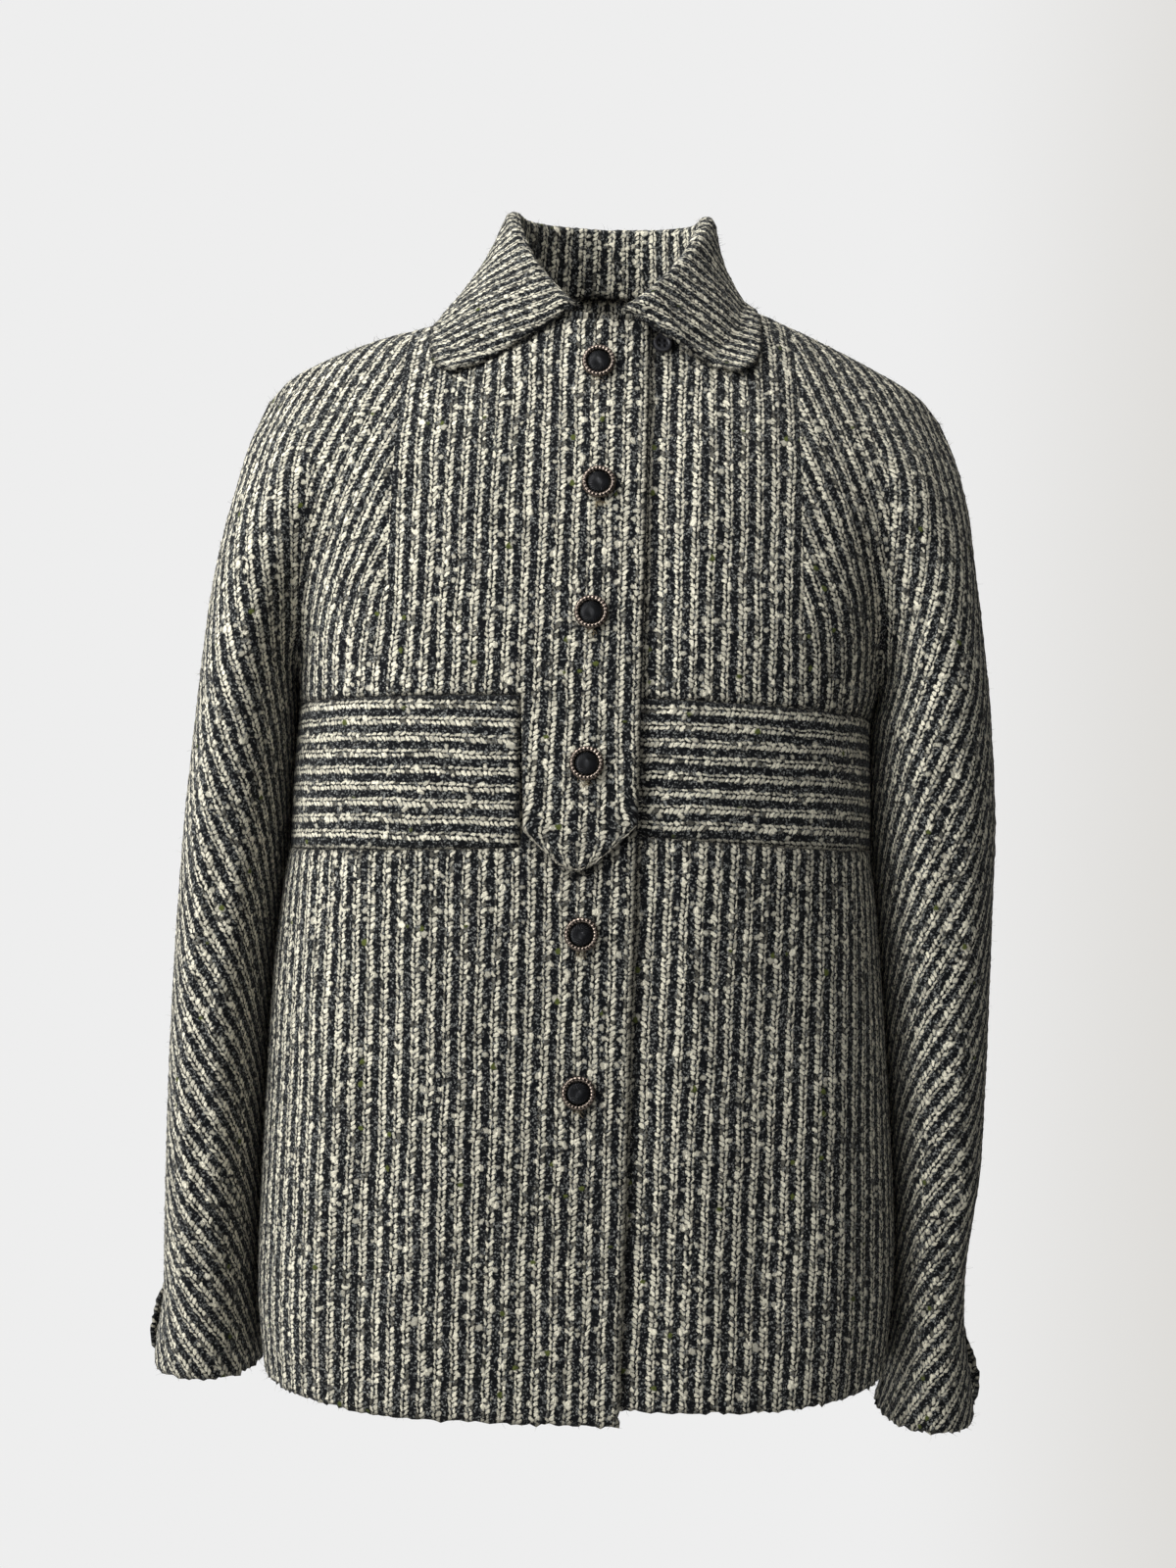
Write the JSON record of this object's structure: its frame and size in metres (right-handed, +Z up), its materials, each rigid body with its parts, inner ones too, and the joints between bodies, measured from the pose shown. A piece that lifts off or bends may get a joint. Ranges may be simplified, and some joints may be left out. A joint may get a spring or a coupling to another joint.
{
  "type": "boucle jacket",
  "caption": "Hip-length striped boucle jacket with kimono sleeves, midriff bands, a pointed centre tab, a turned-down collar and domed buttons, hollow as worn.",
  "frame": {"origin": "middle of the neck opening, at the height of the shoulder seams' neck ends, on the jacket's middle plane", "axes": "+X towards the wearer's left, +Y towards the wearer's back, +Z up"},
  "size_m": [0.4969, 0.2271, 0.7105],
  "materials": {
    "boucle": "nubby striped wool boucle, matt, cream on charcoal",
    "button_rim": "worn bronze-grey metal, roped",
    "button_face": "black, fluted dome",
    "horn": "dark grey, four holes"
  },
  "bodies": {
    "root": {"right_front_upper": "boucle", "right_front_band": "boucle", "right_front_lower": "boucle", "right_back": "boucle", "left_front_upper": "boucle", "left_front_band": "boucle", "left_front_lower": "boucle", "left_back": "boucle", "collar": "boucle", "button_rim_1": "button_rim", "button_face_1": "button_face", "button_rim_2": "button_rim", "button_face_2": "button_face", "button_rim_3": "button_rim", "button_face_3": "button_face", "button_rim_4": "button_rim", "button_face_4": "button_face", "button_rim_5": "button_rim", "button_face_5": "button_face", "button_rim_6": "button_rim", "button_face_6": "button_face", "neck_button": "horn", "right_cuff_button_rim": "button_rim", "right_cuff_button_face": "button_face", "left_cuff_button_rim": "button_rim", "left_cuff_button_face": "button_face"}
  },
  "joints": []
}
